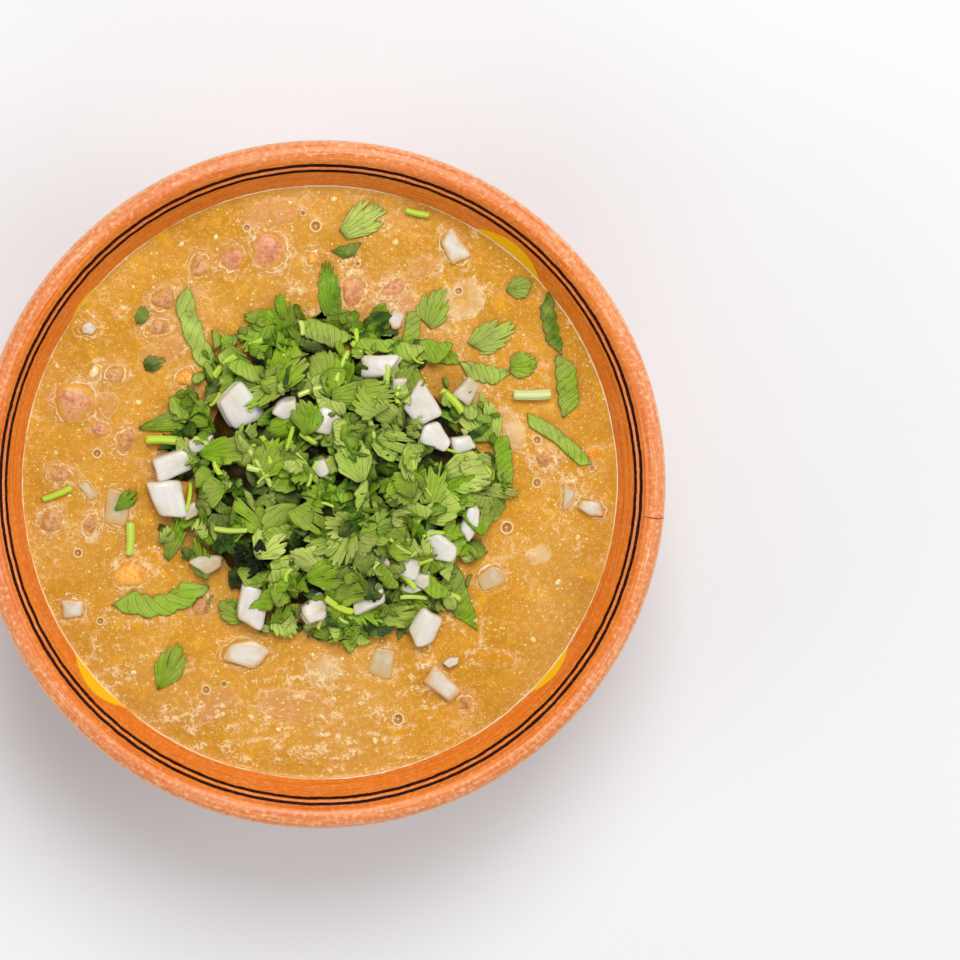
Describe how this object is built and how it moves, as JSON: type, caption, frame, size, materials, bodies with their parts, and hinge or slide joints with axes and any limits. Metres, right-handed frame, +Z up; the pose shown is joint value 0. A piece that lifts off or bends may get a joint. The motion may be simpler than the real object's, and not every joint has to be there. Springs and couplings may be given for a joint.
{
  "type": "bowl of soup",
  "caption": "Terracotta bowl of thick bean and meat soup, topped with a loose heap of chopped cilantro and onion.",
  "frame": {"origin": "on the surface that the bowl stands on, under the middle of the bowl's foot ring", "axes": "+Z up along the bowl's axis; +X to the right and +Y to the top of the picture's view from above"},
  "size_m": [0.19, 0.19, 0.073],
  "materials": {
    "terracotta": "satin turned earthenware with two dark brown lines inside the rim",
    "soup": "wet, thick broth with froth, small seeds and bubbles",
    "cilantro": "fresh chopped leaves, satin",
    "stem": "wet cut stems",
    "onion": "wet translucent white",
    "bean": "cooked skin, wet",
    "meat": "cooked and fibrous, wet",
    "squash": "cooked, soft and wet",
    "kernel": "cooked skin, wet"
  },
  "bodies": {
    "root": {"bean_01": "bean", "bean_02": "bean", "bean_03": "bean", "bean_04": "bean", "bean_05": "bean", "bean_06": "bean", "bean_07": "bean", "bean_08": "bean", "bean_09": "bean", "bean_10": "bean", "bean_11": "bean", "bowl": "terracotta", "cilantro_leaf_01": "cilantro", "cilantro_leaf_02": "cilantro", "cilantro_leaf_03": "cilantro", "cilantro_leaf_04": "cilantro", "cilantro_leaf_05": "cilantro", "cilantro_leaf_06": "cilantro", "cilantro_leaf_07": "cilantro", "cilantro_leaf_08": "cilantro", "cilantro_leaf_09": "cilantro", "cilantro_leaf_10": "cilantro", "cilantro_leaf_11": "cilantro", "cilantro_leaf_12": "cilantro", "cilantro_leaf_13": "cilantro", "cilantro_leaf_14": "cilantro", "cilantro_leaf_15": "cilantro", "cilantro_leaf_16": "cilantro", "cilantro_stem_01": "stem", "cilantro_stem_02": "stem", "cilantro_stem_03": "stem", "cilantro_stem_04": "stem", "garnish_heap": "cilantro", "kernel_01": "kernel", "meat_01": "meat", "meat_02": "meat", "meat_03": "meat", "meat_04": "meat", "meat_05": "meat", "meat_06": "meat", "onion_01": "onion", "onion_02": "onion", "onion_03": "onion", "onion_04": "onion", "onion_05": "onion", "onion_06": "onion", "onion_07": "onion", "onion_08": "onion", "onion_09": "onion", "onion_10": "onion", "onion_11": "onion", "onion_12": "onion", "soup": "soup", "squash_01": "squash", "squash_02": "squash", "squash_03": "squash"}
  },
  "joints": []
}
